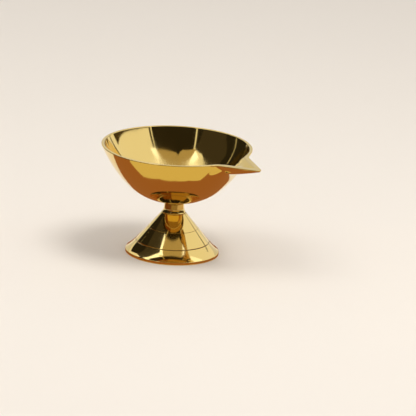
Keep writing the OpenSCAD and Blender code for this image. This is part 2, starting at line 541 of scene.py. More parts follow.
@dataclass
class Bowl:
    """The cast and turned bowl with its wick lip, its boss and its tapped tenon. Sizes in millimetres."""

    seat_z: float
    rim_z: float
    rim_r: float = 36.2
    bowl_depth: float = 26.9
    wall: float = 1.4
    floor_extra: float = 0.6
    rim_slope: float = 66.0
    knee: float = 45.0
    boss_r: float = 4.75
    boss_fillet: float = 0.7
    tenon_r: float = 3.5
    tenon_len: float = 6.0
    tenon_root: float = 0.15
    thread_r: float = 2.03
    thread_top: float = 0.65
    thread_tip: float = 0.9
    thread_bevel: float = 0.4
    bevel: float = 0.2
    edge_round: float = 0.34
    inner_fade: float = 0.85
    inner_fade_run: Point = (0.3, 3.0)
    lip_len: float = 15.2
    lip_angle: float = 63.0
    lip_cos: float = 0.7
    lip_spare: float = 2.0
    lip_least: float = 0.05
    lip_fall: float = 3.0
    fall_in: float = 5.0
    fall_soft: float = 1.5
    lip_depth: float = 6.6
    lip_wall: float = 3.0
    lip_floor: float = 1.6
    lip_fillet: float = 8.0
    tip_r: float = 2.2
    tip_t: float = 0.8
    tip_least: float = 1e-6
    keel_bend: float = 1.25
    root_in: float = 3.0
    root_lean: float = 0.4
    root_fillet: float = 6.0
    root_run: float = 3.5
    root_soft: float = 5.0
    flank: float = 2.3
    channel_rise: float = 0.45
    channel_run: float = 7.0
    channel_least: float = 0.02
    channel_blunt: float = 0.012
    channel_blend: float = 2.0
    dish: float = 1.5
    crease_from: float = 24.0
    crease_gap: float = 0.5
    crease_round: float = 0.5
    draw_outside: float = 17.0
    draw_inside: float = 14.0
    draw_past: float = 4.0
    wiped_r: float = 28.5
    wiped_run: float = 4.5
    filed_outside: Point = (0.05, 0.8)
    filed_inside: Point = (0.05, 0.5)
    rim_lathed: float = 0.4
    # Painted shade in the seam below the bowl, and the height over which it fades.
    seam_shade: float = 0.8
    seam_run: float = 1.5
    columns: int = 360
    crowd: float = 0.9
    ring_gap: float = 0.6
    fillet_rings: int = 7
    edge_rings: int = 5
    top_rings: int = 4
    channel_rings: int = 26
    channel_crowd: float = 0.8
    floor_rings: int = 10

    def __post_init__(self) -> None:
        """Works out the two arcs of the side and the lines of the lip from the sizes."""
        sin_k, cos_k = math.sin(math.radians(self.knee)), math.cos(math.radians(self.knee))
        sin_s, cos_s = math.sin(math.radians(self.rim_slope)), math.cos(math.radians(self.rim_slope))
        self.under_z = self.rim_z - self.bowl_depth
        self.flat_r = self.boss_r - self.boss_fillet
        side_w = self.rim_r - self.flat_r
        det = sin_k * (cos_k - cos_s) - (1.0 - cos_k) * (sin_s - sin_k)
        self.low_r = (side_w * (cos_k - cos_s) - self.bowl_depth * (sin_s - sin_k)) / det
        self.up_r = (sin_k * self.bowl_depth - (1.0 - cos_k) * side_w) / det
        self.low_c = (self.flat_r, self.under_z + self.low_r)
        gap = self.up_r - self.low_r
        self.up_c = (self.low_c[0] - gap * sin_k, self.low_c[1] + gap * cos_k)
        self.knee_sin = sin_k
        self.slope_tan = math.tan(math.radians(self.rim_slope))
        self.floor_z = self.under_z + self.wall + self.floor_extra
        self.half = math.radians(self.lip_angle / 2.0)
        self.reach = self.rim_r + self.lip_len
        self.tip_x = self.reach - self.tip_r
        self.point_x = self.tip_x + self.tip_r / math.sin(self.half)
        self.channel_x = self.point_x - self.lip_wall / math.sin(self.half)
        self.fall_x = self.rim_r - self.fall_in
        self.root_x = self.rim_r - self.root_in
        off = self.point_x * math.sin(self.half) + self.lip_fillet
        run = math.sqrt((self.rim_r + self.lip_fillet) ** 2 - off * off)
        self.fil_c = (off * math.sin(self.half) + run * math.cos(self.half),
                      off * math.cos(self.half) - run * math.sin(self.half))
        self.fil_x0 = self.fil_c[0] * self.rim_r / (self.rim_r + self.lip_fillet)
        self.fil_x1 = self.fil_c[0] - self.lip_fillet * math.sin(self.half)
        self.plain = self.edges(math.pi)

    def side_z(self, r: float, inset: float) -> float:
        """Height of the turned side at a radius.

        Args:
            r: distance from the axis.
            inset: 0 for the outside, or the wall's thickness for the inside.

        Returns:
            The height, carried on in a straight line past the rim.
        """
        low_r, up_r = self.low_r - inset, self.up_r - inset
        if r <= self.low_c[0]:
            return self.low_c[1] - low_r
        if r <= self.low_c[0] + low_r * self.knee_sin:
            return self.low_c[1] - math.sqrt(low_r ** 2 - (r - self.low_c[0]) ** 2)
        last = self.rim_radius(inset)
        z = self.up_c[1] - math.sqrt(up_r ** 2 - (min(r, last) - self.up_c[0]) ** 2)
        return z + max(0.0, r - last) * self.slope_tan

    def rim_radius(self, inset: float) -> float:
        """Radius at which the outside or inside of the wall would meet the rim's plane."""
        rise = self.up_c[1] - self.rim_z
        return self.up_c[0] + math.sqrt((self.up_r - inset) ** 2 - rise ** 2)

    def floor_radius(self) -> float:
        """Radius of the flat in the middle of the bowl's floor."""
        inner = self.low_r - self.wall
        return self.low_c[0] + math.sqrt(inner ** 2 - (self.low_c[1] - self.floor_z) ** 2)

    def edge_z(self, x: float) -> float:
        """Height of the rim and of the lip's edges, which fall gently toward the tip.

        Args:
            x: distance toward the tip.

        Returns:
            The height.
        """
        past, soft = x - self.fall_x, self.fall_soft
        fall = max(0.0, past) if abs(past) > soft else (past + soft) ** 2 / (4.0 * soft)
        return self.rim_z - fall * math.tan(math.radians(self.lip_fall))

    def keel_z(self, x: float) -> float:
        """Height of the lowest line under the lip.

        Args:
            x: distance toward the tip.

        Returns:
            The height.
        """
        share = max(0.0, (x - self.root_x) / (self.reach - self.root_x))
        low = self.rim_z - self.lip_depth
        return low + (self.edge_z(self.reach) - self.tip_t - low) * share ** self.keel_bend

    def half_width(self, x: float) -> float:
        """Half width of the lip: inside the wall, then fillet, straight edge and round tip.

        Args:
            x: distance toward the tip.

        Returns:
            The half width.
        """
        if x < self.fil_x0:
            return self.half_width(self.fil_x0) - (self.fil_x0 - x) * self.root_lean
        if x < self.fil_x1:
            return self.fil_c[1] - math.sqrt(self.lip_fillet ** 2 - (x - self.fil_c[0]) ** 2)
        if x < self.tip_x + self.tip_r * math.sin(self.half):
            return (self.point_x - x) * math.tan(self.half)
        return math.sqrt(max(self.tip_least, self.tip_r ** 2 - (x - self.tip_x) ** 2))

    def root_width(self, x: float) -> float:
        """Half width that the lip's underside keeps to, led softly from the fillet in under the bowl.

        Args:
            x: distance toward the tip.

        Returns:
            The half width.
        """
        widest = self.half_width(self.fil_x0)
        inward = widest - (self.fil_x0 - x) * self.root_lean
        if x >= self.fil_x0:
            return lower_of(inward, self.half_width(x), self.root_soft)
        steep = self.fil_x0 / widest
        return lower_of(inward, widest + (self.fil_x0 - x) * steep, self.root_soft)

    def lip_z(self, x: float, y: float) -> float:
        """Height of the lip's underside.

        Args:
            x: distance toward the tip.
            y: distance to its side.

        Returns:
            The height.
        """
        edge = self.edge_z(x) - self.edge_round
        share = min(1.0, abs(y) / self.root_width(x))
        return edge - max(self.lip_least, edge - self.keel_z(x)) * (1.0 - share ** self.flank)

    def channel_z(self, x: float, y: float, drop: float) -> float:
        """Height of the channel that carries the wick, which is a dish.

        Args:
            x: distance toward the tip.
            y: distance to its side.
            drop: how far below the lip's edges the dish starts.

        Returns:
            The height.
        """
        edge = self.edge_z(x) - drop
        width = max(self.channel_least, (self.channel_x - x) * math.tan(self.half))
        rise = self.channel_rise * ramp(x, self.root_x, self.root_x + self.channel_run)
        depth = (edge - self.keel_z(x) - self.lip_floor) * (1.0 - rise)
        share = min(1.0, abs(y) / width)
        return edge - max(depth, 0.0) * (1.0 - share * share) ** self.dish

    def inner_round(self, angle: float) -> float:
        """Rounding of the inner edge, which all but goes where the channel runs out over the rim."""
        past = self.inline(angle) - self.rim_radius(self.wall)
        return self.edge_round * (1.0 - self.inner_fade * ramp(past, *self.inner_fade_run))

    def round_edge(self, angle: float, rim: float) -> float:
        """Radius of an edge of the plain round rim, whose radius in its plane is given as rim."""
        drop = self.edge_round + self.rim_z - self.edge_z(self.rim_r * math.cos(angle))
        return rim - drop / self.slope_tan

    def outline(self, angle: float) -> float:
        """Finds the outer edge of the rim and the lip.

        Args:
            angle: direction from the lip.

        Returns:
            The edge's distance from the axis.
        """
        c, s = math.cos(angle), abs(math.sin(angle))
        plain = self.round_edge(angle, self.rim_r)
        if c < self.lip_cos or plain * s >= self.half_width(plain * c):
            return plain
        return solve(lambda r: r * c < self.reach and r * s < self.half_width(r * c),
                     plain, self.reach + self.lip_spare)

    def inline(self, angle: float) -> float:
        """Finds the inner edge of the rim and the channel.

        Args:
            angle: direction from the lip.

        Returns:
            The edge's distance from the axis.
        """
        c, s = math.cos(angle), abs(math.sin(angle))
        plain = self.round_edge(angle, self.rim_radius(self.wall))
        if c < self.lip_cos:
            return plain
        aside = math.hypot(s, self.channel_blunt) - self.channel_blunt
        line = self.channel_x / (c + aside / math.tan(self.half))
        return -lower_of(-plain, -line, self.channel_blend)

    def crease(self, angle: float) -> float:
        """Finds where the turned wall meets the channel.

        Args:
            angle: direction from the lip.

        Returns:
            The crease's distance from the axis.
        """
        c, s = math.cos(angle), abs(math.sin(angle))
        last = self.inline(angle) - self.crease_gap
        if c < self.lip_cos:
            return last
        drop = self.inner_round(angle)
        found = solve(lambda r: self.side_z(r, self.wall) < self.channel_z(r * c, r * s, drop),
                      self.crease_from, self.inline(angle))
        return min(found, last)

    def edges(self, angle: float) -> Edges:
        """Edges of the rim in the direction angle from the lip."""
        return Edges(self.outline(angle), self.inline(angle), self.crease(angle), self.inner_round(angle))

    def side_radii(self, first: float, last: float, inset: float) -> list[float]:
        """Radii between two ends that lie evenly along the curved side.

        Args:
            first: smaller radius.
            last: larger radius.
            inset: 0 for the outside, or the wall's thickness for the inside.

        Returns:
            The radii, the first left out and the last included.
        """
        fine = [first + (last - first) * i / FINE_STEPS for i in range(FINE_STEPS + 1)]
        way = along_section([(r, self.side_z(r, inset)) for r in fine])
        count = round(way[-1] / self.ring_gap)
        radii = []
        at = 0
        for k in range(1, count + 1):
            while at < FINE_STEPS and way[at] < way[-1] * k / count - 1e-9:
                at += 1
            radii.append(fine[at])
        return radii

    def section(self) -> list[Ring]:
        """Rings of the mesh in the plain section, away from the lip.

        Returns:
            The rings from the end of the tapped hole, round over the rim, to the middle of the floor.
        """
        seat, low, hole = self.seat_z, self.seat_z - self.tenon_len, self.seat_z + self.thread_top
        turned = [(0.0, hole + self.thread_tip), (self.thread_r, hole)]
        turned += [(self.thread_r, low + self.thread_bevel), (self.thread_r + self.thread_bevel, low)]
        turned += [(self.tenon_r - self.bevel, low), (self.tenon_r, low + self.bevel)]
        turned += [(self.tenon_r, seat - self.tenon_root), (self.tenon_r + self.tenon_root, seat)]
        turned += [(self.boss_r - self.bevel, seat), (self.boss_r, seat + self.bevel)]
        out = self.low_r + self.boss_fillet
        toe = math.asin((self.boss_r + self.boss_fillet - self.flat_r) / out)
        toe_c = (self.low_c[0] + out * math.sin(toe), self.low_c[1] - out * math.cos(toe))
        turned += arc(toe_c, self.boss_fillet, 180.0, 90.0 + math.degrees(toe), self.fillet_rings)
        rings = [Ring(Zone.TURNED, r, z) for r, z in turned]

        outside = self.side_radii(turned[-1][0], self.plain.outer, 0.0)
        rings += [Ring(Zone.OUTSIDE, r, self.side_z(r, 0.0)) for r in outside]
        edge, top, channel = self.edge_rings, self.top_rings, self.channel_rings
        rim = [(Zone.OUTER_EDGE, k / edge) for k in range(1, edge + 1)]
        rim += [(Zone.TOP, k / top) for k in range(1, top)]
        rim += [(Zone.INNER_EDGE, k / edge) for k in range(edge, 0, -1)]
        rim += [(Zone.CHANNEL, k / channel) for k in range(channel)]
        rings += [Ring(zone, self.rim_r, self.rim_z, share) for zone, share in rim]

        floor_r, count = self.floor_radius(), self.floor_rings
        wall = reversed(self.side_radii(floor_r, self.plain.crease, self.wall))
        rings += [Ring(Zone.WALL, r, self.side_z(r, self.wall)) for r in wall]
        rings += [Ring(Zone.WALL, floor_r * (1.0 - k / count), self.floor_z) for k in range(1, count + 1)]
        return rings

    def drawn(self, r: float, edge: float, plain: float, start: float) -> float:
        """Radius r drawn out, more and more from start on, as an edge goes from its plain radius out."""
        last = plain + self.draw_past
        return r + (edge - plain) * ramp(r, start, last) / ramp(plain, start, last)

    def place(self, ring: Ring, angle: float, edges: Edges) -> Point:
        """Distance from the axis and height of one point of the mesh.

        Args:
            ring: the ring that the point is on.
            angle: its direction from the lip.
            edges: edges of the rim in that direction.

        Returns:
            Radius and height in millimetres.
        """
        c, s = math.cos(angle), math.sin(angle)
        if ring.zone is Zone.TURNED:
            return ring.r, ring.z
        if ring.zone is Zone.OUTSIDE:
            r = self.drawn(ring.r, edges.outer, self.plain.outer, self.draw_outside)
            under = self.lip_z(r * c, r * s) if c > self.lip_cos else FAR_UP
            blend = self.root_fillet * ramp(edges.outer - r, 0.0, self.root_run)
            return r, lower_of(self.side_z(r, 0.0), under, blend)
        if ring.zone in (Zone.OUTER_EDGE, Zone.INNER_EDGE):
            outside = ring.zone is Zone.OUTER_EDGE
            turned = math.radians(90.0 * ring.share)
            bend = self.edge_round if outside else edges.soft
            inset = bend * (1.0 - math.cos(turned))
            r = edges.outer - inset if outside else edges.inner + inset
            return r, self.edge_z(r * c) - bend * (1.0 - math.sin(turned))
        if ring.zone is Zone.TOP:
            r = (edges.outer - self.edge_round) * (1.0 - ring.share) + (edges.inner + edges.soft) * ring.share
            return r, self.edge_z(r * c)
        if ring.zone is Zone.CHANNEL:
            share = ring.share ** self.channel_crowd
            r = edges.inner * (1.0 - share) + edges.crease * share
            wall = self.side_z(r, self.wall)
        else:
            r = self.drawn(ring.r, edges.crease, self.plain.crease, self.draw_inside)
            wall = max(self.floor_z, self.side_z(r, self.wall))
        dished = self.channel_z(r * c, r * s, edges.soft) if c > self.lip_cos else FAR_UP
        return r, lower_of(wall, dished, self.crease_round)

    def lathed(self, ring: Ring, r: float, z: float) -> float:
        """How far a point still lies on the turned shape.

        Args:
            ring: the ring that the point is on.
            r: its distance from the axis.
            z: its height.

        Returns:
            1 on the turned shape, 0 on the hand-filed lip, and a little on the rim.
        """
        if ring.zone is Zone.OUTSIDE:
            return 1.0 - ramp(self.side_z(r, 0.0) - z, *self.filed_outside)
        if ring.zone in (Zone.CHANNEL, Zone.WALL):
            wall = max(self.floor_z, self.side_z(r, self.wall))
            return 1.0 - ramp(wall - z, *self.filed_inside)
        return self.rim_lathed

    def cornered(self, ring: Ring, z: float) -> float:
        """How much painted shade darkens the seam below the bowl at a point, from 0 to 1."""
        seam = 1.0 - ramp(z - self.seat_z, 0.0, self.seam_run)
        return self.seam_shade * seam if ring.zone in (Zone.TURNED, Zone.OUTSIDE) else 0.0

    def wiped(self, ring: Ring, r: float) -> float:
        """How much wiping has dulled a point: 1 in the bowl's floor, 0 toward the rim."""
        return 1.0 - ramp(r, self.wiped_r - self.wiped_run, self.wiped_r) if ring.zone is Zone.WALL else 0.0

    def build(self) -> bpy.types.Object:
        """Spins the plain section, then draws its points out into the lip.

        Returns:
            The bowl, with its section's length, its turned stretches, its corners and scuffs as attributes.
        """
        rings = self.section()
        flat = [self.place(ring, math.pi, self.plain) for ring in rings]
        piece = turn("bowl_brass", flat, self.columns)
        way = along_section(flat)
        found: dict[int, Edges] = {}
        marks: dict[str, list[float]] = {"scuff": [], "along": [], "turned": [], "corner": []}
        places = take_rings(piece)
        for vertex, index in zip(piece.data.vertices, places):
            ring = rings[index]
            column = round(math.atan2(vertex.co.y, vertex.co.x) / math.tau * self.columns) % self.columns
            even = math.tau * column / self.columns
            angle = even - self.crowd * math.sin(even)
            if column not in found:
                found[column] = self.edges(angle)
            r, z = self.place(ring, angle, found[column])
            vertex.co = Vector((r * math.cos(angle) * MM, r * math.sin(angle) * MM, z * MM))
            marks["scuff"].append(self.wiped(ring, r))
            marks["along"].append(way[index] * MM)
            marks["turned"].append(self.lathed(ring, r, z))
            marks["corner"].append(self.cornered(ring, z))
        finish_mesh(piece, marks)
        return piece

    def dress(self, piece: bpy.types.Object, brass: bpy.types.Material) -> None:
        """Gives the bowl its finish and its place in the frame.

        Args:
            piece: the piece.
            brass: its material.
        """
        piece.data.materials.clear()
        piece.data.materials.append(brass)
        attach(piece, "root")
        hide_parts("bowl")


@dataclass
class Foot:
    """The turned foot: a hollow cone with neck, socket, flared edge and scribed lines. In millimetres."""

    height: float
    foot_r: float
    wall: float = 1.6
    edge_h: float = 1.2
    edge_round: float = 0.3
    flange_slope: float = 20.0
    cove_r: float = 4.5
    neck_z: float = 20.2
    neck_top_r: float = 4.75
    neck_taper: float = 0.25
    neck_blend: float = 4.5
    neck_cut: float = 0.14
    shoulder: float = 0.65
    seam_up: float = -0.1
    scribes: tuple[Point, ...] = ((6.0, 0.17), (12.7, 0.07))
    groove: tuple[float, ...] = (-1.6, -1.0, -0.55, 0.0, 0.55, 1.0, 1.6)
    groove_width: float = 1.1
    groove_bend: float = 0.8
    flare: float = 1.2
    flare_bend: float = 1.8
    flare_most: float = 1.2
    flare_tries: int = 6
    tenon_r: float = 3.55
    tenon_len: float = 6.25
    tenon_root: float = 0.15
    web_t: float = 4.6
    bore_r: float = 2.2
    hollow_z: tuple[float, ...] = (2.0, 4.0, 6.0, 8.0, 10.0, 12.0)
    hollow_bevel: float = 0.35
    ledge_round: tuple[Point, ...] = ((0.7, 0.0), (0.1, 0.2))
    ledge_drop: float = 0.6
    bevel: float = 0.2
    bevel_from: float = -60.0
    # Painted shade in the foot's hollow, at the neck's cut line, in the seam under the bowl and in the
    # scribed grooves.
    hollow_shade: float = 0.75
    neck_shade: float = 0.55
    neck_run: Point = (0.05, 0.4)
    seam_shade: float = 0.7
    seam_run: float = 0.5
    groove_depths: Point = (0.1, 0.8)
    groove_run: Point = (0.3, 0.6)
    columns: int = 240
    ring_gap: float = 0.5
    flare_rings: int = 18
    curve_rings: int = 32
    neck_rings: int = 6
    bevel_rings: int = 3
    edge_rings: int = 4

    def __post_init__(self) -> None:
        """Works out the straight side of the cone, which touches the solid's hollow curve, and the flare."""
        self.neck_r = self.neck_top_r + self.neck_taper
        self.top = (self.neck_r + self.shoulder, self.neck_z)
        slope = math.radians(self.flange_slope)
        low = (self.foot_r - self.edge_round, self.edge_h + self.edge_round)
        cove = (low[0] + self.cove_r * math.sin(slope), low[1] + self.cove_r * math.cos(slope))
        run = (cove[0] - self.top[0], cove[1] - self.top[1])
        self.cone = math.pi / 2 + math.atan2(run[1], run[0]) - math.asin(self.cove_r / math.hypot(*run))
        z, deep = self.scribes[0]
        self.flare_z = z + deep * self.groove[0] * self.groove_width
        self.socket_z = self.height - self.tenon_len
        self.ledge_z = self.socket_z - self.web_t

    def cone_r(self, z: float) -> float:
        """Outer radius of the straight side at a height."""
        return self.top[0] + (self.top[1] - z) * math.tan(self.cone)

    def flare_way(self, first: float, more: float) -> list[Point]:
        """Steps out and down along the flare below the lower scribed line.

        Args:
            first: angle of the side from upright at the flare's top.
            more: by how much the angle grows toward the foot's edge.

        Returns:
            Points as distance out and distance down from the flare's top, not yet to size.
        """
        way = [(0.0, 0.0)]
        for k in range(self.flare_rings):
            turned = first + more * ((k + 0.5) / self.flare_rings) ** self.flare_bend
            way.append((way[-1][0] + math.sin(turned), way[-1][1] + math.cos(turned)))
        return way

    def flare_growth(self, first: float, wanted: float) -> float:
        """Growth of the flare's angle from first on that leads it in the wanted direction to its end."""
        return solve(lambda more: math.atan2(*self.flare_way(first, more)[-1]) < wanted, 0.0, self.flare_most)

    def flare_line(self) -> tuple[list[Point], float]:
        """Leads the flare from the lower scribed line into the rounding of the foot's edge.

        Returns:
            Points from the top of the flare to its end, and its last angle from upright.
        """
        first = self.cone + math.radians(self.flare)
        start_r = self.cone_r(self.flare_z)
        last = first
        for _ in range(self.flare_tries):
            edge = (self.foot_r - self.edge_round * (1.0 - math.cos(last)),
                    self.edge_h + self.edge_round * math.sin(last))
            out, down = edge[0] - start_r, self.flare_z - edge[1]
            more = self.flare_growth(first, math.atan2(out, down))
            last = first + more
        way = self.flare_way(first, more)
        size = math.hypot(out, down) / math.hypot(*way[-1])
        return [(start_r + r * size, self.flare_z - z * size) for r, z in way], last

    def neck_curve(self) -> list[Point]:
        """Hollow curve between the cone and the neck, with the fine line that is cut round it.

        Returns:
            Points from the cone up to the neck.
        """
        corner = self.top[1] + self.shoulder / math.tan(self.cone)
        lean = math.atan2(self.neck_taper, self.height - self.neck_z)
        bend = self.neck_blend
        reach = bend * math.tan((self.cone - lean) / 2.0)
        low = (self.neck_r + reach * math.sin(self.cone), corner - reach * math.cos(self.cone))
        centre = (low[0] + bend * math.cos(self.cone), low[1] + bend * math.sin(self.cone))
        points = []
        for k in range(self.curve_rings + 1):
            turned = self.cone + (lean - self.cone) * k / self.curve_rings
            z = centre[1] - bend * math.sin(turned)
            share = abs(z - self.neck_z - self.seam_up) / self.neck_cut
            deep = bend + self.neck_cut * max(0.0, 1.0 - share) ** self.groove_bend
            points.append((centre[0] - deep * math.cos(turned), centre[1] - deep * math.sin(turned)))
        return points

    def scribe(self, z: float, deep: float) -> list[Point]:
        """Cuts a fine round-lipped groove in the cone.

        Args:
            z: height of its middle.
            deep: its depth.

        Returns:
            Points from its lower edge up.
        """
        points = []
        for share in self.groove:
            way = z + share * deep * self.groove_width
            cut = deep * max(0.0, 1.0 - abs(share)) ** self.groove_bend
            points.append((self.cone_r(way) - cut * math.cos(self.cone), way - cut * math.sin(self.cone)))
        return points

    def straight(self, low: float, high: float, least: int) -> list[Point]:
        """Points of the straight side between two heights, both left out, in at least so many steps."""
        steps = max(least, round((high - low) / self.ring_gap))
        return [(self.cone_r(z), z) for z in (low + (high - low) * k / steps for k in range(1, steps))]

    def section(self) -> list[Point]:
        """Closed outline of the foot's section.

        Returns:
            Points from the screw's hole out under the web, down the hollow, round the edge, up to the seat.
        """
        thick = self.wall / math.cos(self.cone)
        ledge_r, ledge = self.cone_r(self.ledge_z) - thick, self.ledge_z
        inside = [(self.bore_r, ledge + self.bevel), (self.bore_r + self.bevel, ledge)]
        inside += [(ledge_r - inset, ledge - drop) for inset, drop in self.ledge_round]
        heights = (self.hollow_bevel, *self.hollow_z, ledge - self.ledge_drop)
        inside += [(self.cone_r(z) - thick, z) for z in reversed(heights)]

        flare, last = self.flare_line()
        ring = [(self.cone_r(0.0) - thick + self.hollow_bevel, 0.0), (self.foot_r - self.bevel, 0.0)]
        corner = (self.foot_r - self.bevel, self.bevel)
        ring += arc(corner, self.bevel, self.bevel_from, 0.0, self.bevel_rings)
        edge = (self.foot_r - self.edge_round, self.edge_h)
        ring += arc(edge, self.edge_round, 0.0, math.degrees(last), self.edge_rings)

        side = list(reversed(flare[1:-1])) + self.scribe(*self.scribes[0])
        for z, deep in self.scribes[1:]:
            groove = self.scribe(z, deep)
            side += self.straight(side[-1][1], groove[0][1], least=2) + groove
        curve = self.neck_curve()
        side += self.straight(side[-1][1], curve[0][1], least=4) + curve

        (r, z), count = curve[-1], self.neck_rings
        over, rise = self.neck_top_r - r, self.height - self.bevel - z
        neck = [(r + over * k / count, z + rise * k / count) for k in range(1, count + 1)]
        neck += [(self.neck_top_r - self.bevel, self.height), (self.tenon_r + self.tenon_root, self.height)]
        neck += [(self.tenon_r, self.height - self.tenon_root), (self.tenon_r, self.socket_z)]
        return inside + ring + side + neck + [(self.bore_r, self.socket_z)] + inside[:1]

    def cornered(self, r: float, z: float) -> float:
        """How much painted shade darkens the grooves, the neck's foot and the hollow at a point.

        Args:
            r: distance of the point from the axis.
            z: its height.

        Returns:
            A share from 0 to 1.
        """
        if r < self.cone_r(z) - 0.5 * self.wall and z < self.neck_z:
            return self.hollow_shade
        neck = 1.0 - ramp(abs(z - self.neck_z - self.seam_up), *self.neck_run)
        seam = ramp(z, self.height - self.seam_run, self.height)
        cuts = []
        for height, deep in self.scribes:
            cut = ramp(self.cone_r(z) - r, self.groove_depths[0] * deep, self.groove_depths[1] * deep)
            cuts.append(cut * (1.0 - ramp(abs(z - height), *self.groove_run)))
        return max(self.neck_shade * neck, self.seam_shade * seam, *cuts)

    def build(self) -> bpy.types.Object:
        """Spins the section.

        Returns:
            The foot, with its section's length, its turned stretches and its corners as attributes.
        """
        section = self.section()
        piece = turn("foot_brass", section, self.columns)
        way = along_section(section)
        rings = take_rings(piece)
        finish_mesh(piece, {"along": [way[i] * MM for i in rings], "turned": [1.0] * len(rings),
                            "corner": [self.cornered(*section[i]) for i in rings]})
        return piece

    def dress(self, piece: bpy.types.Object, brass: bpy.types.Material) -> None:
        """Gives the foot its finish and its place in the frame.

        Args:
            piece: the piece.
            brass: its material.
        """
        piece.data.materials.clear()
        piece.data.materials.append(brass)
        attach(piece, "root")
        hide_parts("foot")


@dataclass
class Fastening:
    """The slotted screw and the washer that hold the bowl on the foot. Sizes in millimetres."""

    head_z: float
    washer_t: float = 0.8
    washer_r: float = 4.5
    washer_round: float = 0.12
    hole_r: float = 2.2
    screw_r: float = 2.0
    screw_len: float = 12.0
    head_r: float = 3.5
    head_h: float = 2.6
    head_bevel: float = 0.1
    slot_w: float = 1.2
    slot_h: float = 1.12
    slot_spare: float = 2.0
    bevel: float = 0.4
    bevel_rings: int = 5
    # Painted shade, even over the screw and the washer inside the foot's hollow.
    shade_mask: float = 0.35
    columns: int = 96

    def build_screw(self) -> bpy.types.Object:
        """Turns the screw and cuts its slot.

        Returns:
            The screw with its head below the washer.
        """
        low, top, soft = self.head_z - self.head_h, self.head_z + self.screw_len, self.head_bevel
        section = [(0.0, low), (self.head_r - self.bevel, low)]
        corner = (self.head_r - self.bevel, low + self.bevel)
        section += arc(corner, self.bevel, -90.0, 0.0, self.bevel_rings)[1:]
        section += [(self.head_r, self.head_z - soft), (self.head_r - soft, self.head_z)]
        section += [(self.screw_r, self.head_z), (self.screw_r, top - self.bevel)]
        section += [(self.screw_r - self.bevel, top), (0.0, top)]
        piece = turn("clamp_screw_brass", section, self.columns)
        take_rings(piece)
        middle = low - self.slot_spare / 2.0 + self.slot_h / 2.0
        bpy.ops.object.select_all(action="DESELECT")
        bpy.ops.mesh.primitive_cube_add(size=1.0, location=(0.0, 0.0, middle * MM))
        cutter = bpy.context.active_object
        cutter.scale = (4.0 * self.head_r * MM, self.slot_w * MM, (self.slot_h + self.slot_spare) * MM)
        bpy.ops.object.transform_apply(location=True, rotation=True, scale=True)
        bpy.context.view_layer.objects.active = piece
        cut = piece.modifiers.new("slot", "BOOLEAN")
        cut.operation = "DIFFERENCE"
        cut.solver = "EXACT"
        cut.object = cutter
        bpy.ops.object.modifier_apply(modifier=cut.name)
        bpy.data.objects.remove(cutter)
        self.mark(piece)
        return piece

    def build_washer(self) -> bpy.types.Object:
        """Turns the washer, flat with lightly rounded edges.

        Returns:
            The washer, on the screw's head.
        """
        low, high, soft = self.head_z, self.head_z + self.washer_t, self.washer_round
        section = [(self.hole_r, low + soft), (self.hole_r + soft, low), (self.washer_r - soft, low)]
        section += [(self.washer_r, low + soft), (self.washer_r, high - soft), (self.washer_r - soft, high)]
        section += [(self.hole_r + soft, high), (self.hole_r, high - soft), (self.hole_r, low + soft)]
        piece = turn("washer_brass", section, self.columns)
        take_rings(piece)
        self.mark(piece)
        return piece

    def mark(self, piece: bpy.types.Object) -> None:
        """Finishes a mesh whose turned length is taken as the distance from the axis and the height."""
        points = [v.co for v in piece.data.vertices]
        # The corner mark here is painted shade, the same all over the piece.
        finish_mesh(piece, {"along": [math.hypot(p.x, p.y) + p.z for p in points],
                            "turned": [1.0] * len(points), "corner": [self.shade_mask] * len(points)})

    def dress(self, piece: bpy.types.Object, node: str, brass: bpy.types.Material) -> None:
        """Gives a piece its finish and its place in the frame.

        Args:
            piece: the piece.
            node: node that it stands for.
            brass: its material.
        """
        piece.data.materials.clear()
        piece.data.materials.append(brass)
        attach(piece, "root")
        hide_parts(node)


@dataclass(frozen=True)
class SkyCard:
    """A bent card round the lamp that only reflections see: a painted reflection, dark or glowing.

    Each point of its line has the bearing and elevation of the card's lower edge, then those of its upper
    edge, in degrees as the lamp sees them. A bearing is counted from the camera, to the camera's right.
    """

    name: str
    tone: Colour
    line: tuple[tuple[float, float, float, float], ...]
    away: float = 4.0
    step: float = 3.0

    def columns(self) -> list[tuple[float, float, float, float]]:
        """Adds points to the line, so that the card bends smoothly.

        Returns:
            The points of the line, with the others between them.
        """
        found = [self.line[0]]
        for first, last in zip(self.line, self.line[1:]):
            count = max(1, math.ceil(abs(last[0] - first[0]) / self.step))
            for k in range(1, count + 1):
                found.append(tuple(a + (b - a) * k / count for a, b in zip(first, last)))
        return found


@dataclass(frozen=True)
class GroundCard:
    """A card that lies on the floor and that only reflections see; its tone is a painted reflection, warmer
    and mostly darker than the pale floor under it.

    Each point of its line is a distance to the camera's right, and the card's edges there as distances toward
    the camera, all in millimetres from the lamp's axis.
    """

    name: str
    tone: Colour
    line: tuple[tuple[float, float, float], ...]
    height: float = 0.3


@dataclass(frozen=True)
class Softbox:
    """A soft lamp: its bearing and elevation, distance, sides in metres, power in watts and colour."""

    name: str
    bearing: float
    elevation: float
    away: float
    width: float
    height: float
    power: float
    colour: tuple[float, float, float] = (1.0, 0.97, 0.93)


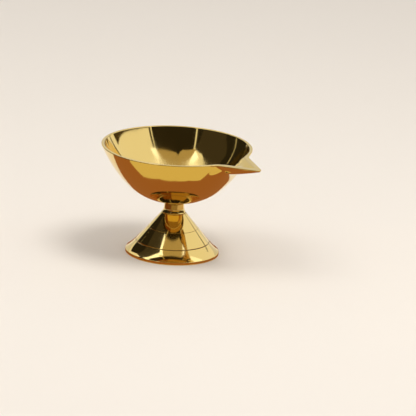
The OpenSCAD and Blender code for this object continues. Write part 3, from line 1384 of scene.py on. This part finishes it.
@dataclass
class Studio:
    """Pale floor, soft light, and the camera at the photograph's angle. Its distances are in metres."""

    azimuth: float = 39.5
    elevation: float = 16.37
    roll: float = 2.976
    away: float = 2.0
    scale: float = 2.104
    image: float = 416.0
    rim_pixel: Point = (177.133, 145.399)
    sensor: float = 36.0
    clip: Point = (0.05, 50.0)
    # Painted reflections: dark flags and bright glowing sheets that only mirror rays see, which give the
    # brass its dark bands and hot highlights.
    sky_cards: tuple[SkyCard, ...] = (
        SkyCard("flag_front", (0.024, 0.019, 0.011, 1.0), (
            (42.5, 0.0, 51.5, 50.0), (30.0, 0.0, 36.0, 53.0), (15.0, 0.0, 18.0, 56.5),
            (2.0, 0.0, 3.0, 58.5), (-3.0, 0.0, -4.0, 61.0), (-6.0, 0.0, -9.0, 57.0),
            (-10.0, 0.0, -14.0, 55.0), (-16.0, 0.0, -26.0, 54.0), (-23.0, 0.0, -39.5, 51.0))),
        SkyCard("flag_left", (0.022, 0.018, 0.011, 1.0), (
            (-24.5, 0.0, -41.5, 49.0), (-40.0, 0.0, -48.0, 50.0), (-52.0, 0.0, -55.0, 50.0),
            (-64.0, 0.0, -64.0, 49.0), (-76.0, 0.0, -76.0, 47.0), (-92.0, 0.0, -92.0, 46.0),
            (-110.0, 0.0, -110.0, 45.5), (-124.0, 0.0, -124.0, 42.5), (-142.0, 0.0, -142.0, 27.0))),
        SkyCard("near_left", (0.05, 0.04, 0.026, 1.0), (
            (-49.5, 20.0, -49.5, 54.0), (-64.0, 20.0, -64.0, 53.0), (-84.0, 24.0, -84.0, 53.2),
            (-100.0, 30.0, -100.0, 52.0), (-112.0, 30.0, -112.0, 48.5), (-120.0, 30.0, -120.0, 45.0)), 0.15),
        SkyCard("streak_left", (0.55, 0.5, 0.4, 1.0), (
            (-108.0, 14.6, -108.0, 15.6), (-119.0, 16.8, -119.0, 18.0), (-127.0, 21.0, -127.0, 23.5)), 3.9),
        SkyCard("flag_line", (0.05, 0.04, 0.02, 1.0), (
            (47.6, 0.0, 57.0, 49.0), (44.6, 0.0, 53.6, 50.0))),
        SkyCard("line_right", (0.05, 0.04, 0.02, 1.0), (
            (137.0, 5.0, 132.0, 26.0), (134.6, 5.0, 129.6, 26.0))),
        SkyCard("low_front", (0.42, 0.26, 0.09, 1.0), (
            (62.0, -3.0, 62.0, 17.0), (-14.0, -3.0, -14.0, 17.0)), 3.9),
        SkyCard("low_left", (0.20, 0.075, 0.025, 1.0), (
            (-14.0, -3.0, -14.0, 17.0), (-60.0, -3.0, -60.0, 11.0)), 3.9),
        SkyCard("back", (0.70, 0.68, 0.66, 1.0), (
            (214.0, 3.0, 214.0, 40.0), (180.0, 3.0, 180.0, 44.0), (148.0, 3.0, 148.0, 40.0))),
        SkyCard("low_right", (0.07, 0.048, 0.02, 1.0), (
            (124.0, 0.0, 124.0, 16.0), (112.0, 0.0, 112.0, 17.5), (98.0, 0.0, 98.0, 20.5),
            (75.0, 0.0, 75.0, 26.5), (54.0, 0.0, 54.0, 30.5), (45.5, 0.0, 50.5, 30.5))),
        SkyCard("ceiling", (0.47, 0.36, 0.19, 1.0), (
            (51.0, 49.0, 49.0, 76.0), (36.0, 52.0, 36.0, 76.0), (18.0, 56.0, 18.0, 78.0),
            (0.0, 58.0, 0.0, 78.0), (-14.0, 54.0, -14.0, 78.0), (-35.0, 51.0, -35.0, 76.0),
            (-46.0, 49.5, -43.0, 76.0)), 4.1),
        SkyCard("glow_right", (1.5, 1.55, 1.8, 1.0), (
            (63.0, 46.0, 63.0, 62.0), (51.5, 48.5, 50.0, 64.0)), 3.9),
        SkyCard("glow_left", (1.75, 1.8, 2.05, 1.0), (
            (-45.0, 51.0, -42.5, 67.0), (-62.0, 54.0, -62.0, 63.0)), 3.9),
        SkyCard("high_right", (1.35, 1.35, 1.45, 1.0), (
            (150.0, 46.0, 150.0, 76.0), (112.0, 52.0, 112.0, 80.0), (62.0, 62.0, 62.0, 80.0)), 4.2),
        SkyCard("high_left", (1.6, 1.6, 1.75, 1.0), (
            (-62.0, 62.0, -62.0, 80.0), (-92.0, 53.0, -92.0, 80.0), (-116.0, 49.0, -116.0, 78.0),
            (-146.0, 38.0, -146.0, 74.0)), 4.2),
    )
    sky_middle: float = 0.04
    # Painted reflections: warm tones, mostly dark, that the brass mirrors in place of the pale floor.
    ground_cards: tuple[GroundCard, ...] = (
        GroundCard("ground_warm", (0.36, 0.14, 0.048, 1.0), (
            (-85.0, -32.0, 74.0), (-66.0, -36.0, 74.0), (-65.9, -36.0, 19.0), (-38.0, -44.0, 22.0),
            (-20.0, -46.0, 35.0), (0.0, -46.0, 38.0), (17.0, -46.0, 36.0), (30.0, -46.0, 29.0),
            (36.0, -46.0, 30.0), (44.0, -46.0, 31.5), (50.0, -46.0, 32.5), (57.0, -46.0, 36.0),
            (57.1, -46.0, 74.0), (85.0, -46.0, 74.0))),
        GroundCard("ground_gold", (0.74, 0.58, 0.24, 1.0), ((-65.9, 19.0, 74.0), (57.1, 19.0, 74.0)), 0.2),
        GroundCard("ground_front", (0.30, 0.195, 0.08, 1.0), (
            (-500.0, 200.0, 900.0), (-85.1, 200.0, 900.0), (-85.0, 74.0, 900.0), (85.0, 74.0, 900.0),
            (85.1, 130.0, 900.0), (500.0, 130.0, 900.0))),
        GroundCard("ground_left", (0.17, 0.062, 0.022, 1.0), (
            (-600.0, -64.0, 200.0), (-85.0, -64.0, 200.0))),
        GroundCard("ground_right", (0.62, 0.45, 0.28, 1.0), (
            (85.0, -64.0, 130.0), (400.0, -64.0, 130.0))),
    )
    softboxes: tuple[Softbox, ...] = (
        Softbox("softbox_top", 60.0, 68.0, 1.0, 0.45, 0.45, 5.0),
        Softbox("softbox_left", -80.0, 55.0, 1.1, 0.5, 0.5, 2.5),
    )
    softbox_middle: float = 0.03
    floor_size: float = 14.0
    floor_gap: float = 0.00002
    floor_colour: Colour = (0.80, 0.755, 0.70, 1.0)
    floor_rough: float = 0.9
    floor_shine: float = 0.1
    room_colour: Colour = (1.0, 0.965, 0.92, 1.0)
    room_seen: float = 0.92
    room_light: float = 0.62

    def toward(self, bearing: float, elevation: float) -> Vector:
        """Direction from the lamp.

        Args:
            bearing: degrees from the camera, to the camera's right.
            elevation: degrees above the floor.

        Returns:
            A vector of length 1.
        """
        a = math.radians(self.azimuth + bearing)
        e = math.radians(elevation)
        return Vector((math.sin(a) * math.cos(e), -math.cos(a) * math.cos(e), math.sin(e)))

    def build_camera(self, rim_z: float) -> None:
        """Places the camera so that the rim's middle lands on its pixel.

        Args:
            rim_z: height of the rim, in millimetres.
        """
        back = self.toward(0.0, self.elevation)
        turned = (-back).to_track_quat("-Z", "Y").to_matrix()
        turned = turned @ Matrix.Rotation(math.radians(self.roll), 3, "Z")
        right, up = turned.col[0], turned.col[1]
        middle = self.image / 2.0
        aside = (middle - self.rim_pixel[0]) / self.scale * MM
        below = (middle - self.rim_pixel[1]) / self.scale * MM
        data = bpy.data.cameras.new("camera")
        data.sensor_width = self.sensor
        data.lens = self.scale / MM * self.away / self.image * self.sensor
        data.clip_start, data.clip_end = self.clip
        camera = bpy.data.objects.new("camera", data)
        bpy.context.scene.collection.objects.link(camera)
        spot = Vector((0.0, 0.0, rim_z * MM)) + back * self.away + right * aside - up * below
        camera.matrix_world = Matrix.Translation(spot) @ turned.to_4x4()
        bpy.context.scene.camera = camera

    def build_floor(self) -> None:
        """Lays the pale floor."""
        bpy.ops.object.select_all(action="DESELECT")
        bpy.ops.mesh.primitive_plane_add(size=self.floor_size, location=(0.0, 0.0, -self.floor_gap))
        floor = bpy.context.active_object
        floor.name = "floor"
        material = bpy.data.materials.new("pale_floor")
        material.use_nodes = True
        shader = material.node_tree.nodes["Principled BSDF"]
        shader.inputs["Base Color"].default_value = self.floor_colour
        shader.inputs["Roughness"].default_value = self.floor_rough
        shader.inputs["Specular IOR Level"].default_value = self.floor_shine
        floor.data.materials.append(material)

    def build_card(self, name: str, tone: Colour, corners: list[list[Vector]]) -> None:
        """Makes one card that only reflections see.

        Args:
            name: name of the card.
            tone: light that it gives off.
            corners: its points, as a row along one edge and a row along the other.
        """
        count = len(corners[0])
        bpy.ops.object.select_all(action="DESELECT")
        bpy.ops.mesh.primitive_grid_add(x_subdivisions=count - 1, y_subdivisions=1, size=1.0)
        sheet = bpy.context.active_object
        sheet.name = name
        for index, vertex in enumerate(sheet.data.vertices):
            vertex.co = corners[index // count][index % count]
        material = bpy.data.materials.new(name)
        material.use_nodes = True
        tree = NodeTree(material.node_tree)
        tree.tree.nodes.clear()
        glow = tree.add("ShaderNodeEmission", Color=tone)
        tree.link(glow.outputs[0], tree.add("ShaderNodeOutputMaterial").inputs["Surface"])
        sheet.data.materials.append(material)
        sheet.visible_camera = False
        sheet.visible_diffuse = False
        sheet.visible_shadow = False

    def sky_point(self, card: SkyCard, bearing: float, elevation: float) -> Vector:
        """Point of an upright card, as the lamp sees it."""
        reach = card.away / math.cos(math.radians(elevation))
        return Vector((0.0, 0.0, self.sky_middle)) + self.toward(bearing, elevation) * reach

    def ground_point(self, card: GroundCard, side: float, way: float) -> Vector:
        """Point of a lying card, from its distances to the camera's right and toward the camera."""
        flat = self.toward(90.0, 0.0) * side * MM + self.toward(0.0, 0.0) * way * MM
        return flat + Vector((0.0, 0.0, card.height * MM))

    def build_cards(self) -> None:
        """Stands and lays the cards round the lamp."""
        for card in self.sky_cards:
            line = card.columns()
            low = [self.sky_point(card, bearing, elevation) for bearing, elevation, _, _ in line]
            high = [self.sky_point(card, bearing, elevation) for _, _, bearing, elevation in line]
            self.build_card(card.name, card.tone, [low, high])
        for card in self.ground_cards:
            far = [self.ground_point(card, side, way) for side, way, _ in card.line]
            close = [self.ground_point(card, side, way) for side, _, way in card.line]
            self.build_card(card.name, card.tone, [far, close])

    def build_lamps(self) -> None:
        """Hangs the soft lamps; reflections see the cards in place of them."""
        for box in self.softboxes:
            data = bpy.data.lights.new(box.name, "AREA")
            data.shape = "RECTANGLE"
            data.size, data.size_y = box.width, box.height
            data.energy = box.power
            data.color = box.colour
            lamp = bpy.data.objects.new(box.name, data)
            bpy.context.scene.collection.objects.link(lamp)
            way = self.toward(box.bearing, box.elevation)
            lamp.location = way * box.away + Vector((0.0, 0.0, self.softbox_middle))
            lamp.rotation_euler = (-way).to_track_quat("-Z", "Y").to_euler()
            lamp.visible_camera = False
            lamp.visible_glossy = False

    def build_world(self) -> None:
        """Makes the pale room: bright to the eye and in reflections, and plain soft light elsewhere."""
        world = bpy.data.worlds.new("room")
        world.use_nodes = True
        tree = NodeTree(world.node_tree)
        tree.tree.nodes.clear()
        path = tree.add("ShaderNodeLightPath")
        seen = tree.maths("ADD", path.outputs["Is Camera Ray"], path.outputs["Is Glossy Ray"])
        seen = tree.maths("MINIMUM", tree.maths("ADD", seen, path.outputs["Is Transmission Ray"]), 1.0)
        extra = tree.maths("MULTIPLY", seen, self.room_seen - self.room_light)
        background = tree.add("ShaderNodeBackground", Color=self.room_colour)
        tree.link(tree.maths("ADD", extra, self.room_light), background.inputs["Strength"])
        tree.link(background.outputs[0], tree.add("ShaderNodeOutputWorld").inputs["Surface"])
        bpy.context.scene.world = world

    def build(self, rim_z: float) -> None:
        """Sets up the whole studio.

        Args:
            rim_z: height of the lamp's rim, in millimetres.
        """
        self.build_camera(rim_z)
        self.build_floor()
        self.build_cards()
        self.build_lamps()
        self.build_world()
        bpy.context.scene.view_settings.view_transform = "Standard"


def main() -> None:
    """Builds and dresses the lamp's pieces, then the studio, and logs each piece's faces."""
    logging.basicConfig(level=logging.INFO, format="%(message)s")
    polished = POLISHED_BRASS.material()
    plain = PLAIN_BRASS.material()
    foot_box, bowl_box, washer_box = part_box("foot"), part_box("bowl"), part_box("washer")

    foot = Foot(height=foot_box[1].z / MM, foot_r=foot_box[1].x / MM)
    piece = foot.build()
    foot.dress(piece, polished)
    LOG.info("%s: %d faces", piece.name, len(piece.data.polygons))

    bowl = Bowl(seat_z=foot_box[1].z / MM, rim_z=bowl_box[1].z / MM)
    piece = bowl.build()
    bowl.dress(piece, polished)
    LOG.info("%s: %d faces", piece.name, len(piece.data.polygons))

    fastening = Fastening(head_z=washer_box[0].z / MM)
    for node, build in (("clamp_screw", fastening.build_screw), ("washer", fastening.build_washer)):
        piece = build()
        fastening.dress(piece, node, plain)
        LOG.info("%s: %d faces", piece.name, len(piece.data.polygons))

    Studio().build(bowl_box[1].z / MM)


if __name__ == "__main__":
    main()
